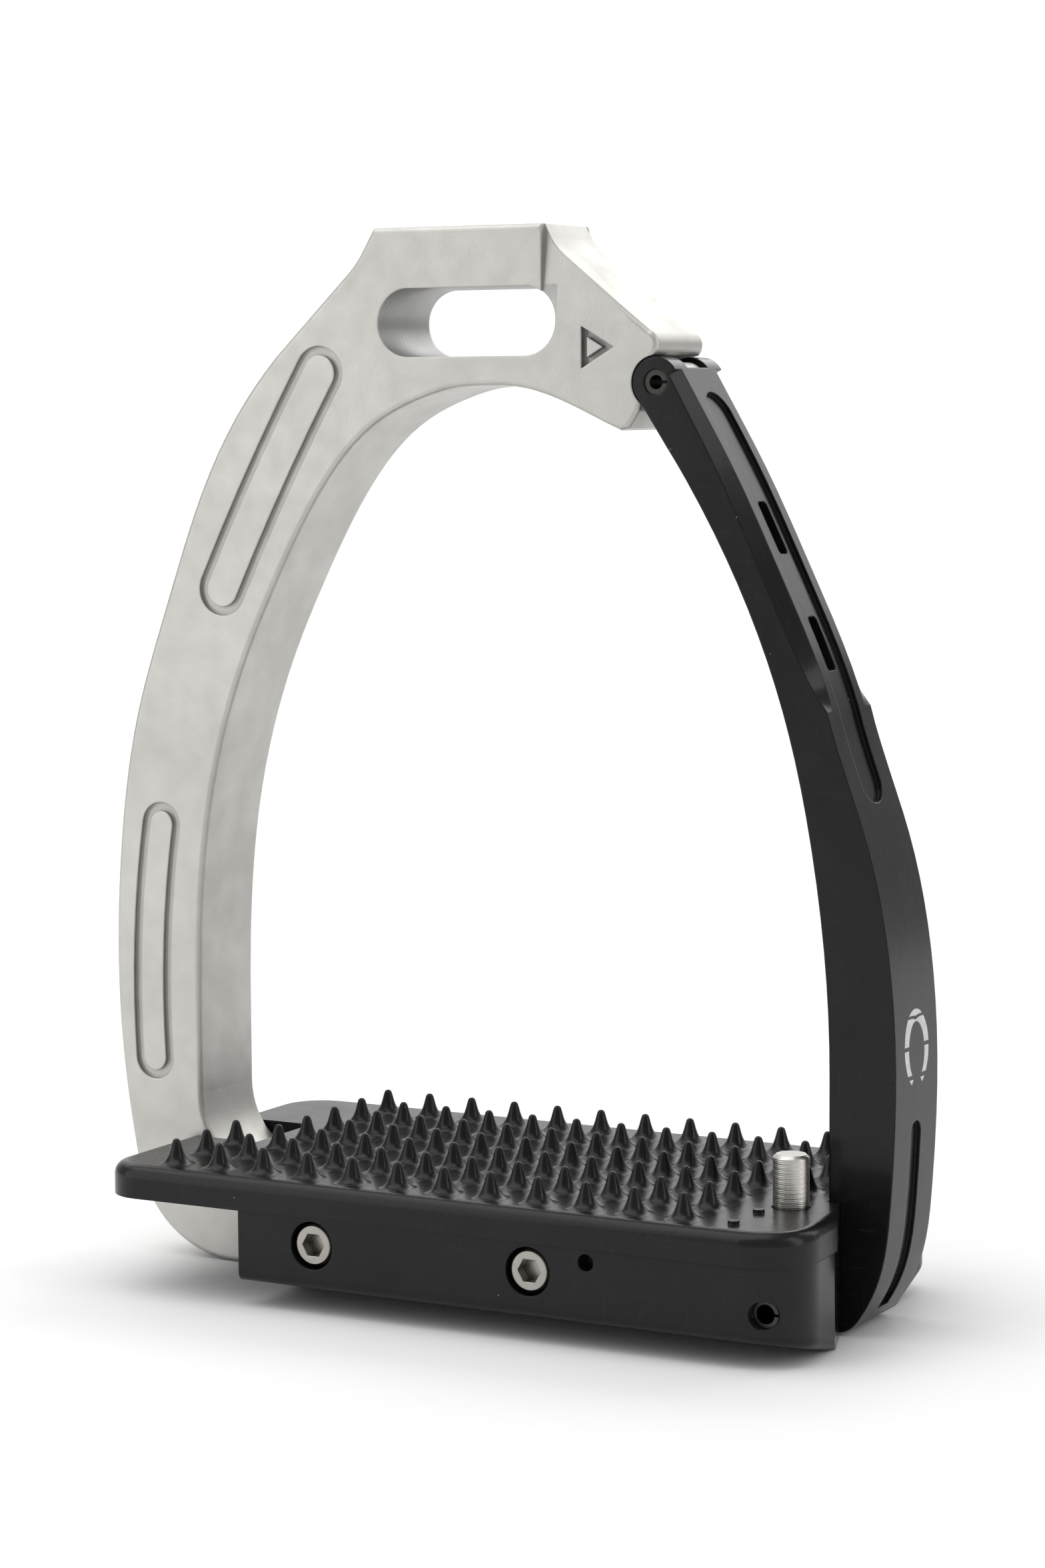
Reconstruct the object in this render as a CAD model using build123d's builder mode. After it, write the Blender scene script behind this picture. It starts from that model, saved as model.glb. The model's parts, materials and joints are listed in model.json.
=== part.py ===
"""Safety stirrup iron for the rider's right foot, with an outer arm that swings open.

Millimetres. +Z is up, +X is the rider's outer side (the black arm) and -Y is the
toe side. The origin lies on the flat underside, below the middle of the foot
opening, halfway through the depth of the side branches.
"""
import os
from math import atan2, cos, degrees, hypot, radians, sin

from build123d import *

os.makedirs("parts", exist_ok=True)

# ---------------------------------------------------------------- driving sizes
# Foot opening and side frame
opening_half_width = 57.5
opening_widest_z = 40.0
opening_top_z = 145.8
overall_height = 170.9
branch_depth = 16.5
branch_width = 16.3
edge_round = 0.8

# Leather slot and eye
slot_length = 32.2
slot_height = 10.9
slot_centre_x = -5.5
slot_roof = 9.6
eye_left_x = -22.4
eye_right_x = 8.1
eye_lean = 1.4
shoulder_hollow = 14.0
heel_hollow = 8.0
groove_width = 1.5
groove_depth = 0.7
groove_rings = (((-30.6, 151.8), (-53.9, 108.9), 8.8, 0.6), ((-64.3, 76.9), (-66.6, 29.9), 7.4, 1.3))
side_mark_x = 17.0
side_mark_z = 151.6
side_mark_radius = 3.8
side_mark_stroke = 1.0
side_mark_depth = 1.2

# Tread
tread_top_z = 20.9
plate_thickness = 5.3
plate_left_reach = 2.6
plate_front_y = -34.8
plate_back_y = 29.5
plate_corner = 7.0
plate_proud = 0.4
plate_edge_round = 2.1
stud_pitch_x = 8.3
stud_pitch_y = 8.87
stud_columns = 13
stud_rows = 7
stud_base_radius = 3.0
stud_height = 4.1
stud_root = 0.5
stud_first_x = -48.2
stud_first_y = -29.55

# Base under the tread
base_left_x = -33.5
base_front_y = -34.3
base_back_y = 29.0
base_edge_z = 4.4
base_floor = 2.0
end_front_reach = 6.3
end_back_reach = 1.7
end_shoulder_reach = 5.3
end_shoulder_y = 18.0
nest_mouth_reach = 1.9
front_corner = 9.0
back_corner = 5.0
flat_half = 17.0
arm_foot_z = 0.5

# Hinge of the arm
hinge_x = 28.0
hinge_z = 146.1
boss_radius = 3.9
tongue_half = 3.0
tongue_radius = 3.1
fork_from = 35
fork_to = 225
washer_thickness = 0.5
hinge_pin_radius = 2.0
hinge_pin_bore = 1.1
bush_wall = 0.45

# Arm details
facet_width = 2.3
recess_half = 3.7
recess_depth = 0.7
foot_groove_half = 2.0
foot_groove_top = 33.0
foot_groove_run = (0.45, 0.95)
liner_thickness = 1.3
liner_half = 6.0
liner_shares = (0.45, 0.88)
clip_heights = (121.0, 103.9)
clip_length = 8.3
clip_width = 2.6
clip_reach = 3.6
striker_half = 5.0
striker_thickness = 1.8
striker_bottom_z = 1.6
striker_top_z = 6.9
striker_screw_y = 3.2
striker_screw_z = 3.4
striker_screw_radius = 0.9
striker_head_radius = 1.4
striker_screw_length = 4.4
pocket_bottom_z = 4.6
pocket_top_z = 14.3
pocket_depth = 5.4

# Latch
plunger_inset = 3.6
plunger_y = -14.4
plunger_radius = 2.8
plunger_stand = 8.2
plunger_foot_radius = 3.6
plunger_nub_radius = 1.2
plunger_nub_height = 0.6
guide_wall = 1.1
guide_sink = 1.0
lever_pin_x = 28.9
lever_pin_z = 13.6
lever_pin_radius = 1.3
spring_inset = 10.0
spring_radius = 2.4
spring_wire = 0.4
spring_pitch = 1.5
seal_z = 17.4
seal_wire = 0.3
seal_groove = 0.75
keeper_pin_reach = 0.5
keeper_pin_z = 8.5
keeper_pin_radius = 2.1
keeper_pin_bore = 1.5
keeper_pin_sink = 1.8
hook_half = 4.0
pad_half = 3.0
pad_thickness = 2.6
pad_clear = 0.35
lever_relief = 2.3
magnet_radius = 2.2
magnet_thickness = 2.4

# Screws
clamp_screw_x = (-19.8, 18.9)
clamp_screw_z = 11.2
clamp_screw_radius = 2.0
clamp_screw_length = 35.0
clamp_head_radius = 3.5
clamp_head_height = 4.0
clamp_head_sink = 0.5
clamp_head_gap = 0.35
hex_across_flats = 3.5
plate_screw_points = ((-28.0, -25.0), (-28.0, 20.0), (46.0, -27.0), (46.0, 20.0))
plate_screw_radius = 1.5
plate_head_radius = 2.75
plate_head_height = 3.0

# Clearances
running_gap = 0.05
press_gap = 0.02
joint_gap = 0.1
body_gap = 0.3

# ------------------------------------------------------------- derived sizes
half_depth = branch_depth / 2
end_front_x = opening_half_width + end_front_reach
end_back_x = opening_half_width + end_back_reach
end_shoulder_x = opening_half_width + end_shoulder_reach
nest_mouth_x = opening_half_width + nest_mouth_reach
plate_left_x = -opening_half_width - plate_left_reach
plunger_x = opening_half_width - plunger_inset
spring_x = opening_half_width - spring_inset
keeper_pin_x = opening_half_width + keeper_pin_reach
plate_bottom_z = tread_top_z - plate_thickness
slot_centre_z = overall_height - slot_roof - slot_height / 2
nest_half = half_depth + body_gap
nest_wall_x = opening_half_width - body_gap
bar_top_z = plate_bottom_z - body_gap
tenon_half = half_depth - 1.25
tenon_bottom_z = base_floor + 1.0
tenon_top_z = plate_bottom_z - 1.8
tenon_end_x = clamp_screw_x[1] + 4.2
notch_right_x = 11.2 - opening_half_width
cheek_inner = tongue_half + washer_thickness + 2 * running_gap
bush_radius = hinge_pin_radius + running_gap + bush_wall
plunger_foot_top = plate_bottom_z - 3.0
plunger_foot_bottom = plunger_foot_top - 4.6
bush_bottom_z = plunger_foot_top + 0.3
guide_radius = plunger_radius + guide_wall
cavity_left_x = tenon_end_x + 1.6
cavity_right_x = nest_wall_x - 3.6
cavity_front_y = plunger_y - 4.2
cavity_back_y = 9.4
relief_right_x = lever_pin_x + 4.6
pad_end_x = plunger_x + 1.5
window_bottom_z = 7.3
window_top_z = 13.9
magnet_z = 4.6
lever_pin_end_y = 13.0
lever_pin_sink = 3.0
keeper_pin_end_y = -17.0
plate_screw_seat_z = 8.0


def at_height(side, width_share, height_share):
    """A point on the foot opening's outline, given as shares of its half-width and rise."""
    rise = opening_top_z - opening_widest_z
    return (side * opening_half_width * width_share, opening_widest_z + rise * height_share)


def pushed_out(edge, share, distance):
    """A point beside a planar edge, the given distance to the left of its run."""
    point = edge @ share
    run = edge % share
    return (point.X - run.Y * distance, point.Y + run.X * distance)


def smooth_edge(points, tangents):
    """Planar spline through points, with its two end directions."""
    return Edge.make_spline([Vector(*p) for p in points], tangents=[Vector(*t) for t in tangents])


# Inner outline of the silver branch, from the widest height up to the crown.
branch_shape = ((1, 0), (0.943, 0.383), (0.849, 0.553), (0.715, 0.708), (0.537, 0.866),
                (0.363, 0.952), (0.19, 0.99), (0, 1))
branch_inner = [at_height(-1, w, h) for w, h in branch_shape]
branch_edge = smooth_edge(branch_inner, ((0, 1), (1, 0)))

# Inner outline of the arm, from the widest height up to the hinge boss.
arm_shape = ((1, 0), (0.946, 0.33), (0.871, 0.511), (0.746, 0.692), (0.59, 0.85), (0.517, 0.911))
arm_inner = [at_height(1, w, h) for w, h in arm_shape]
arm_edge = smooth_edge(arm_inner, ((0, 1), (-0.57, 0.82)))


def nearest_share(edge, height):
    """The share along a rising planar edge at which it passes a height."""
    low = 0.0
    high = 1.0
    for _ in range(40):
        middle = (low + high) / 2
        if (edge @ middle).Y < height:
            low = middle
        else:
            high = middle
    return (low + high) / 2


# ------------------------------------------------------------------ side frame
corner_radius = 19.4
corner_turn = radians(78.5)
corner_start = (corner_radius - opening_half_width - branch_width + 2.9, 0)
corner_end = (corner_start[0] - corner_radius * sin(corner_turn), corner_radius * (1 - cos(corner_turn)))
outer_side = [pushed_out(branch_edge, s, branch_width + 3.0 * s) for s in (0.0, 0.2, 0.36, 0.49)]
shoulder_start = (eye_left_x - 18.6, slot_centre_z - 5.0)
shoulder_end = (eye_left_x - 3.4, overall_height - 5.6)
eye_heel = (eye_right_x + 2.0, overall_height - 3.6)
lip_top = (hinge_x - 1.2, hinge_z + 8.0)
lip_nose = (hinge_x + 0.3, hinge_z + 6.1)
lip_under = (hinge_x - 0.4, hinge_z + 4.1)
tip_high = (hinge_x - 2.9, hinge_z - 4.4)
tip_low = (hinge_x - 4.7, hinge_z - 7.1)
tip_inner = (hinge_x - 6.2, hinge_z - 7.4)
crown_right = [(hinge_x - 9.2, hinge_z - 6.1), (hinge_x - 15.1, hinge_z - 3.4), branch_inner[-1]]
flare_radius = opening_widest_z - bar_top_z - 12.0
flare_top = (-opening_half_width, bar_top_z + flare_radius)
flare_end = (flare_radius - opening_half_width, bar_top_z)
flare_middle = (flare_end[0] - flare_radius * sin(radians(45)),
                flare_top[1] - flare_radius * sin(radians(45)))

with BuildPart() as frame:
    with BuildSketch(Plane.XZ):
        with BuildLine():
            Line((base_left_x, 0), corner_start)
            TangentArc(corner_start, corner_end, tangent=(-1, 0))
            add(smooth_edge([corner_end, *outer_side, shoulder_start],
                            ((-cos(corner_turn), sin(corner_turn)), (0.7, 0.72))))
            Polyline(shoulder_start, shoulder_end, (eye_left_x, overall_height),
                     (eye_right_x, overall_height), eye_heel, lip_top)
            ThreePointArc(lip_top, lip_nose, lip_under)
            Polyline(lip_under, tip_high, tip_low, tip_inner, crown_right[0])
            add(smooth_edge(crown_right, ((-0.9, 0.43), (-1, 0))))
            add(branch_edge)
            Line(branch_inner[0], flare_top)
            ThreePointArc(flare_top, flare_middle, flare_end)
            Polyline(flare_end, (base_left_x, bar_top_z), (base_left_x, 0))
        make_face()
    extrude(amount=half_depth, both=True)
    for hollow, radius in ((shoulder_end, shoulder_hollow), (eye_heel, heel_hollow)):
        across = frame.edges().filter_by(Axis.Y)
        fillet(across.sort_by_distance((hollow[0], 0, hollow[1]))[0], radius)
    fillet(frame.faces().filter_by(Axis.Y).edges(), edge_round)
    # Leather slot, through from front to back
    with BuildSketch(Plane.XZ.offset(half_depth + 1)):
        with Locations((slot_centre_x, slot_centre_z)):
            SlotOverall(slot_length, slot_height)
    extrude(amount=-branch_depth - 2, mode=Mode.SUBTRACT)

    # The outer part of the eye leans back from the plane of its inner part
    for face_side in (-1, 1):
        with BuildSketch(Plane.YZ.offset(eye_right_x)):
            with BuildLine():
                Polyline((face_side * half_depth, slot_centre_z), (face_side * (half_depth + 3), slot_centre_z),
                         (face_side * (half_depth + 3), overall_height + 1),
                         (face_side * (half_depth - eye_lean), overall_height + 1), close=True)
            make_face()
        extrude(amount=40, mode=Mode.SUBTRACT)
    # Racetrack grooves on the toe-side face of the branch
    for top, bottom, wide, bow in groove_rings:
        ring_long = hypot(top[0] - bottom[0], top[1] - bottom[1])
        bowed = ((top[0] + bottom[0]) / 2 - bow * (top[1] - bottom[1]) / ring_long,
                 (top[1] + bottom[1]) / 2 + bow * (top[0] - bottom[0]) / ring_long)
        ends = [(end[0] + (bowed[0] - end[0]) * wide / ring_long, end[1] + (bowed[1] - end[1]) * wide / ring_long)
                for end in (top, bottom)]
        bow_line = Edge.make_three_point_arc(ends[0], bowed, ends[1])
        with BuildSketch(Plane.XZ.offset(half_depth)):
            SlotArc(bow_line, wide)
            SlotArc(bow_line, wide - 2 * groove_width, mode=Mode.SUBTRACT)
        extrude(amount=-groove_depth, mode=Mode.SUBTRACT)
    # Side mark: an engraved arrow that points to the rider's outer side
    with BuildSketch(Plane.XZ.offset(half_depth)):
        with Locations((side_mark_x, side_mark_z)):
            RegularPolygon(side_mark_radius, 3)
            RegularPolygon(side_mark_radius - 2 * side_mark_stroke, 3, mode=Mode.SUBTRACT)
    extrude(amount=-side_mark_depth, mode=Mode.SUBTRACT)
    # The hinge tongue stays in the middle; the arm's two cheeks take the space beside it
    with BuildSketch(Plane.XZ):
        with Locations((hinge_x, hinge_z)):
            Circle(boss_radius + body_gap)
    extrude(amount=half_depth + 1, both=True, mode=Mode.SUBTRACT)
    with BuildSketch(Plane.XZ):
        with BuildLine():
            Polyline((hinge_x - 1.6, hinge_z + 2.5), (hinge_x - 3.4, hinge_z + 4.3), (hinge_x - 9, hinge_z + 3),
                     (hinge_x - 8, hinge_z - 3.2), (hinge_x - 4.2, hinge_z - 2.3),
                     (hinge_x - 2.4, hinge_z - 1.7), (hinge_x, hinge_z), close=True)
        make_face()
        with Locations((hinge_x, hinge_z)):
            Circle(tongue_radius)
    extrude(amount=tongue_half, both=True)
    with BuildSketch(Plane.XZ):
        with Locations((hinge_x, hinge_z)):
            Circle(bush_radius + press_gap)
    extrude(amount=tongue_half + 1, both=True, mode=Mode.SUBTRACT)
    # Tenon at the end of the bottom bar, with the two threaded holes for the clamp screws
    with BuildSketch(Plane.YZ.offset(base_left_x - 2)):
        with Locations((0, (tenon_bottom_z + tenon_top_z) / 2)):
            Rectangle(2 * tenon_half, tenon_top_z - tenon_bottom_z)
    extrude(amount=tenon_end_x - base_left_x + 2)
    chamfer(frame.faces().filter_by(Plane.YZ).sort_by(Axis.X)[-1].edges(), 0.6)
    with BuildSketch(Plane.XZ.offset(half_depth + 1)):
        for screw_x in clamp_screw_x:
            with Locations((screw_x, clamp_screw_z)):
                Circle(clamp_screw_radius + press_gap)
    extrude(amount=-branch_depth - 2, mode=Mode.SUBTRACT)


# ------------------------------------------------------------------- tread plate
def end_outline(front_y, back_y, proud):
    """Plan of the outer end: a flared cheek at the toe side, the arm's nest and a plain cheek behind."""
    return [(end_front_x + proud, front_y), (end_shoulder_x + proud, -end_shoulder_y),
            (nest_mouth_x, -nest_half), (nest_wall_x, -nest_half), (nest_wall_x, nest_half),
            (end_back_x, nest_half), (end_back_x, back_y)]


def round_end(piece, front_y, back_y):
    """Rounds the two upright outer corners of the plate or the housing."""
    for corner, radius in (((end_front_x, front_y), front_corner), ((end_back_x, back_y), back_corner)):
        upright = piece.edges().filter_by(Axis.Z)
        fillet(upright.sort_by_distance((*corner, plate_bottom_z))[0], radius)


def stud_place(column, row):
    """Centre of a stud in plan."""
    return (stud_first_x + column * stud_pitch_x, stud_first_y + row * stud_pitch_y)


def stands_clear(column, row):
    """True where the plate carries a full stud: off the notch and off the plunger's corner."""
    place = stud_place(column, row)
    at_notch = column == 0 and place[1] > -nest_half - stud_base_radius
    at_corner = column == stud_columns - 1 and row < 3
    return not at_notch and not at_corner


with BuildPart() as stud:
    with BuildSketch(Plane.XZ):
        with BuildLine():
            Polyline((0, stud_height), (0, -stud_root), (stud_base_radius, -stud_root), (stud_base_radius, 0))
            add(smooth_edge([(stud_base_radius, 0), (0.50 * stud_base_radius, 0.27 * stud_height),
                             (0.24 * stud_base_radius, 0.83 * stud_height), (0, stud_height)],
                            ((-1, 0.2), (-1, 0))))
        make_face()
    revolve(axis=Axis.Z)

with BuildPart() as tread_plate:
    with BuildSketch(Plane.XY.offset(plate_bottom_z)):
        with BuildLine():
            Polyline((plate_left_x, plate_front_y), *end_outline(plate_front_y, plate_back_y, plate_proud),
                     (plate_left_x, plate_back_y), (plate_left_x, nest_half), (notch_right_x, nest_half),
                     (notch_right_x, -nest_half), (plate_left_x, -nest_half), close=True)
        make_face()
    extrude(amount=plate_thickness)
    for corner in (0, -1):
        upright = tread_plate.edges().filter_by(Axis.Z).group_by(Axis.X)[0]
        fillet(upright.sort_by(Axis.Y)[corner], plate_corner)
    round_end(tread_plate, plate_front_y, plate_back_y)
    front_top = tread_plate.faces().filter_by(Axis.Z).sort_by(Axis.Z)[-1].edges()
    fillet(front_top.filter_by(Axis.X).sort_by(Axis.Y)[0], plate_edge_round)
    # Bore for the plunger guide, relief over the lever, four threaded holes from below
    with BuildSketch(Plane.XY.offset(plate_bottom_z)):
        with Locations((plunger_x, plunger_y)):
            Circle(guide_radius + press_gap)
    extrude(amount=plate_thickness - guide_sink, mode=Mode.SUBTRACT)
    with BuildSketch(Plane.XY.offset(plate_bottom_z)):
        with Locations((plunger_x, plunger_y)):
            Circle(plunger_radius + 4 * running_gap)
    extrude(amount=plate_thickness, mode=Mode.SUBTRACT)
    with BuildSketch(Plane.XY.offset(plate_bottom_z)):
        with Locations(((cavity_left_x + relief_right_x) / 2, (cavity_front_y + cavity_back_y) / 2)):
            Rectangle(relief_right_x - cavity_left_x, cavity_back_y - cavity_front_y)
    extrude(amount=lever_relief, mode=Mode.SUBTRACT)
    with BuildSketch(Plane.XY.offset(plate_bottom_z)):
        with Locations(*plate_screw_points):
            Circle(plate_screw_radius + press_gap)
    extrude(amount=plate_thickness - 1.6, mode=Mode.SUBTRACT)
    # Gripping studs, cast in one with the plate
    stud_places = [(*stud_place(column, row), tread_top_z)
                   for row in range(stud_rows) for column in range(stud_columns)
                   if stands_clear(column, row)]
    with Locations(*stud_places):
        add(stud.part)
    with BuildSketch(Plane.XY.offset(tread_top_z - 0.5)):
        with Locations(stud_place(stud_columns - 1, 0), stud_place(stud_columns - 1, 1)):
            Circle(0.9)
    extrude(amount=1.1)

# ------------------------------------------------------------------ base housing
with BuildPart() as base_housing:
    with BuildSketch(Plane.YZ.offset(base_left_x)):
        with BuildLine():
            Polyline((base_front_y, plate_bottom_z), (base_front_y, base_edge_z), (-flat_half, 0),
                     (flat_half, 0), (base_back_y, base_edge_z), (base_back_y, plate_bottom_z), close=True)
        make_face()
    extrude(amount=end_front_x + 2 - base_left_x)
    with BuildSketch(Plane.XY):
        with BuildLine():
            Polyline((base_left_x, base_front_y), *end_outline(base_front_y, base_back_y, 0),
                     (base_left_x, base_back_y), close=True)
        make_face()
    extrude(amount=plate_bottom_z, mode=Mode.INTERSECT)
    round_end(base_housing, base_front_y, base_back_y)
    fillet(base_housing.edges().filter_by(Axis.X).group_by(Axis.Z)[1], 1.5)
    # Socket for the frame's tenon
    with BuildSketch(Plane.YZ.offset(base_left_x)):
        with Locations((0, (tenon_bottom_z + tenon_top_z) / 2)):
            Rectangle(2 * tenon_half + 2 * joint_gap, tenon_top_z - tenon_bottom_z + 2 * joint_gap)
    extrude(amount=tenon_end_x - base_left_x + joint_gap, mode=Mode.SUBTRACT)
    # Counterbored holes for the clamp screws, through the front wall and tenon
    with BuildSketch(Plane.XZ.offset(-base_front_y)):
        for screw_x in clamp_screw_x:
            with Locations((screw_x, clamp_screw_z)):
                Circle(clamp_head_radius + clamp_head_gap)
    extrude(amount=-clamp_head_sink - clamp_head_height, mode=Mode.SUBTRACT)
    with BuildSketch(Plane.XZ.offset(-base_front_y)):
        for screw_x in clamp_screw_x:
            with Locations((screw_x, clamp_screw_z)):
                Circle(clamp_screw_radius + 0.2)
    extrude(amount=-clamp_screw_length - clamp_head_sink - clamp_head_height - 1, mode=Mode.SUBTRACT)
    # Latch cavity, open upwards and closed by the tread plate
    with BuildSketch(Plane.XY.offset(base_floor)):
        with Locations(((cavity_left_x + cavity_right_x) / 2, (cavity_front_y + cavity_back_y) / 2)):
            Rectangle(cavity_right_x - cavity_left_x, cavity_back_y - cavity_front_y)
        with Locations(((cavity_left_x + pad_end_x + pad_clear) / 2, plunger_y)):
            Rectangle(pad_end_x + pad_clear - cavity_left_x, 2 * pad_half + 1.2)
        with Locations((plunger_x, plunger_y)):
            Circle(guide_radius + 0.3)
    extrude(amount=plate_bottom_z, mode=Mode.SUBTRACT)
    # Window for the hook, blind seat for the magnet
    with BuildSketch(Plane.YZ.offset(cavity_right_x - 1)):
        with Locations((0, (window_bottom_z + window_top_z) / 2)):
            Rectangle(2 * hook_half + 2 * body_gap, window_top_z - window_bottom_z)
    extrude(amount=nest_wall_x - cavity_right_x + 2, mode=Mode.SUBTRACT)
    with BuildSketch(Plane.YZ.offset(nest_wall_x)):
        with Locations((0, magnet_z)):
            Circle(magnet_radius + press_gap)
    extrude(amount=-magnet_thickness - 0.2, mode=Mode.SUBTRACT)
    # Bores for the lever pin and the keeper pin, drilled from the front
    with BuildSketch(Plane.XZ.offset(-base_front_y)):
        with Locations((lever_pin_x, lever_pin_z)):
            Circle(lever_pin_radius + press_gap)
    extrude(amount=base_front_y - lever_pin_end_y, mode=Mode.SUBTRACT)
    with BuildSketch(Plane.XZ.offset(-base_front_y)):
        with Locations((keeper_pin_x, keeper_pin_z)):
            Circle(keeper_pin_radius + press_gap)
    extrude(amount=base_front_y - keeper_pin_end_y - 0.3, mode=Mode.SUBTRACT)
    # Counterbored holes for the plate screws, from below
    with BuildSketch(Plane.XY):
        with Locations(*plate_screw_points):
            Circle(plate_head_radius + 0.3)
    extrude(amount=plate_screw_seat_z, mode=Mode.SUBTRACT)
    with BuildSketch(Plane.XY):
        with Locations(*plate_screw_points):
            Circle(plate_screw_radius + 0.2)
    extrude(amount=plate_bottom_z + 1, mode=Mode.SUBTRACT)

# ------------------------------------------------------------------------ screws
with BuildPart() as clamp_screws:
    for screw_x in clamp_screw_x:
        head_y = base_front_y + clamp_head_sink
        with BuildSketch(Plane.XZ.offset(-head_y)):
            with Locations((screw_x, clamp_screw_z)):
                Circle(clamp_head_radius)
        extrude(amount=-clamp_head_height)
        with BuildSketch(Plane.XZ.offset(-head_y)):
            with Locations((screw_x, clamp_screw_z)):
                Circle(clamp_screw_radius)
        extrude(amount=-clamp_head_height - clamp_screw_length)
        with BuildSketch(Plane.XZ.offset(-head_y)):
            with Locations((screw_x, clamp_screw_z)):
                RegularPolygon(hex_across_flats / 2, 6, major_radius=False)
        extrude(amount=-0.6 * clamp_head_height, mode=Mode.SUBTRACT)
    chamfer(clamp_screws.faces().filter_by(Axis.Y).group_by(Axis.Y)[0].edges()
            .filter_by(GeomType.CIRCLE), 0.5)

with BuildPart() as plate_screws:
    with BuildSketch(Plane.XY.offset(plate_screw_seat_z)):
        with Locations(*plate_screw_points):
            Circle(plate_head_radius)
    extrude(amount=-plate_head_height)
    with BuildSketch(Plane.XY.offset(plate_screw_seat_z)):
        with Locations(*plate_screw_points):
            Circle(plate_screw_radius)
    extrude(amount=tread_top_z - 2.2 - plate_screw_seat_z)
    with BuildSketch(Plane.XY.offset(plate_screw_seat_z - plate_head_height)):
        with Locations(*plate_screw_points):
            RegularPolygon(1.25, 6, major_radius=False)
    extrude(amount=0.6 * plate_head_height, mode=Mode.SUBTRACT)

# -------------------------------------------------------------------- release arm
arm_thickness = (11.0, 9.3, 7.2, 6.3, 6.9)
arm_shares = [nearest_share(arm_edge, p[1]) for p in arm_inner[:5]]
arm_outer = [pushed_out(arm_edge, s, -t) for s, t in zip(arm_shares, arm_thickness)]
boss_in = (hinge_x + boss_radius * cos(radians(215)), hinge_z + boss_radius * sin(radians(215)))
boss_out = (hinge_x + boss_radius * cos(radians(30)), hinge_z + boss_radius * sin(radians(30)))
arm_foot_x = arm_outer[0][0]
foot_corner = (opening_half_width + 1.5, arm_foot_z)
foot_low = (arm_foot_x - 5.6, arm_foot_z + 2.9)
foot_high = (arm_foot_x - 0.8, arm_foot_z + 20.4)
foot_bulge = (arm_foot_x - 2.8, arm_foot_z + 8.5)
facet_end = 2
upper_run = [boss_out, *reversed(arm_outer[facet_end:])]
upper_ends = ((0.5, -0.866), (0.30, -0.954))
lower_run = [*reversed(arm_outer[:facet_end + 1]), foot_high, foot_bulge, foot_low, foot_corner]
lower_ends = ((0.26, -0.966), (-1, -0.1))
upper_edge = smooth_edge(upper_run, upper_ends)
lower_edge = smooth_edge(lower_run, lower_ends)


def strip(edge, first, last, inside, outside):
    """Closed run of points along part of an edge, between two distances from it."""
    shares = [first + (last - first) * k / 6 for k in range(7)]
    inner = [pushed_out(edge, share, -inside) for share in shares]
    outer = [pushed_out(edge, share, outside) for share in shares]
    return inner, outer


def band(near, far, plane=Plane.XZ):
    """Sketch of the band between two smooth runs of points."""
    with BuildSketch(plane) as section:
        with BuildLine():
            Spline(*near)
            Line(near[-1], far[-1])
            Spline(*reversed(far))
            Line(far[0], near[0])
        make_face()
    return section.sketch


def facet_share(share):
    """Width of the scalloped facet along the arm, as a share of its full width."""
    return (0.6 + 0.5 * share) * (1.002 - share ** 10)


def clip_plane(height):
    """Plane across the arm at a clip: x along the arm, z outwards."""
    share = nearest_share(arm_edge, height)
    point = arm_edge @ share
    run = arm_edge % share
    return Plane(origin=(point.X, 0, point.Y), x_dir=(run.X, 0, run.Y), z_dir=(run.Y, 0, -run.X))


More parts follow.
